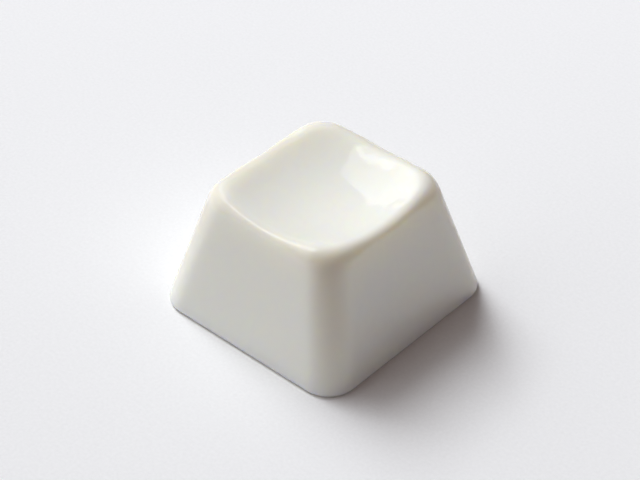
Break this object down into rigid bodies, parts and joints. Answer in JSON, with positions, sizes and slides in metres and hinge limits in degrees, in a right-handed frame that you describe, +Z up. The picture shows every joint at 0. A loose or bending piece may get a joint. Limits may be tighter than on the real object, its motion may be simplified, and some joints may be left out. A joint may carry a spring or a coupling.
{
  "type": "ceramic keycap",
  "caption": "Tapered rounded-square keyboard keycap of white glazed ceramic with a spherical finger dish, hollow below with a round stem and a cross-shaped socket.",
  "frame": {"origin": "centre of the foot, the flat ring that the cap rests on, level with its lower face", "axes": "+Z up towards the finger dish, +X across the width, +Y along the depth"},
  "size_m": [0.018, 0.0186, 0.0105],
  "materials": {
    "glazed_porcelain": "clear gloss glaze on white porcelain"
  },
  "bodies": {
    "root": {"keycap": "glazed_porcelain"}
  },
  "joints": []
}
